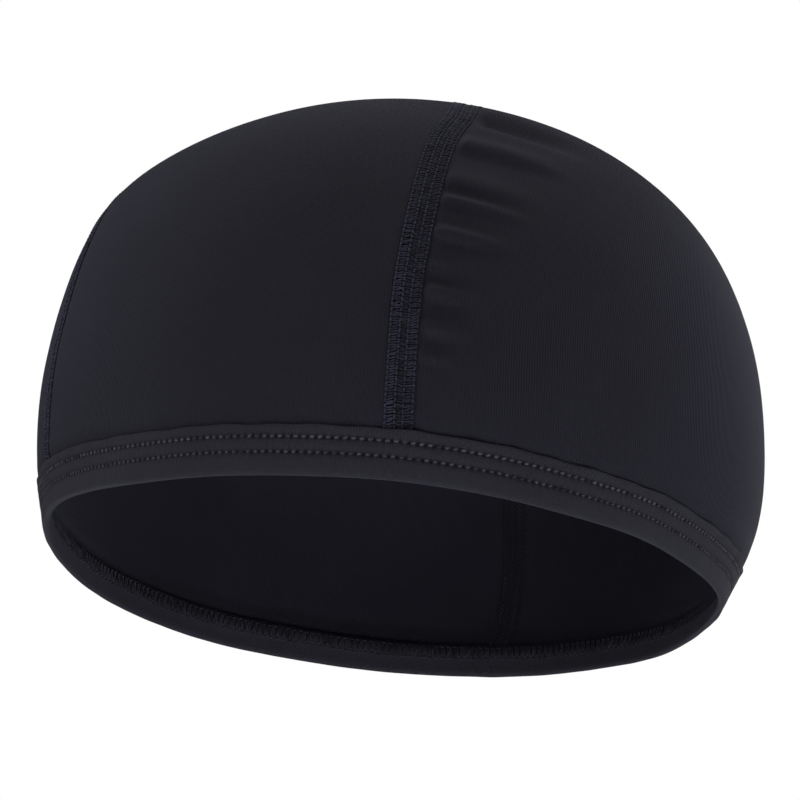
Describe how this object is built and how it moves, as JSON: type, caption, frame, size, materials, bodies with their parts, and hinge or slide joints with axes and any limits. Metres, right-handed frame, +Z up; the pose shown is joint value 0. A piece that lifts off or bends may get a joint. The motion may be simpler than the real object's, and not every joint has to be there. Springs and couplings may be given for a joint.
{
  "type": "cycling skull cap",
  "caption": "Close-fitting stretch cap worn under a cycling helmet: knitted crown panels joined by wide flat seams, with small gathers beside the front seam and a stitched, folded edge binding.",
  "frame": {"origin": "middle of the rim, in its plane, where the cap sits on the head", "axes": "+Z up through the crown, -Y out of the front, +X to the wearer's left"},
  "size_m": [0.1739, 0.2052, 0.1114],
  "materials": {
    "crown_knit": "fine ribbed stretch knit, near-black navy, matt with a faint sheen",
    "seam_thread": "dark navy flat-seam thread, short strands across four needle lines",
    "binding_knit": "folded knit binding, slightly greyer than the crown, matt"
  },
  "bodies": {
    "root": {"crown_panel_front_left": "crown_knit", "crown_panel_front_right": "crown_knit", "crown_panel_back_left": "crown_knit", "crown_panel_back_right": "crown_knit", "centre_seam": "seam_thread", "side_seam_left": "seam_thread", "side_seam_right": "seam_thread", "edge_binding": "binding_knit"}
  },
  "joints": []
}
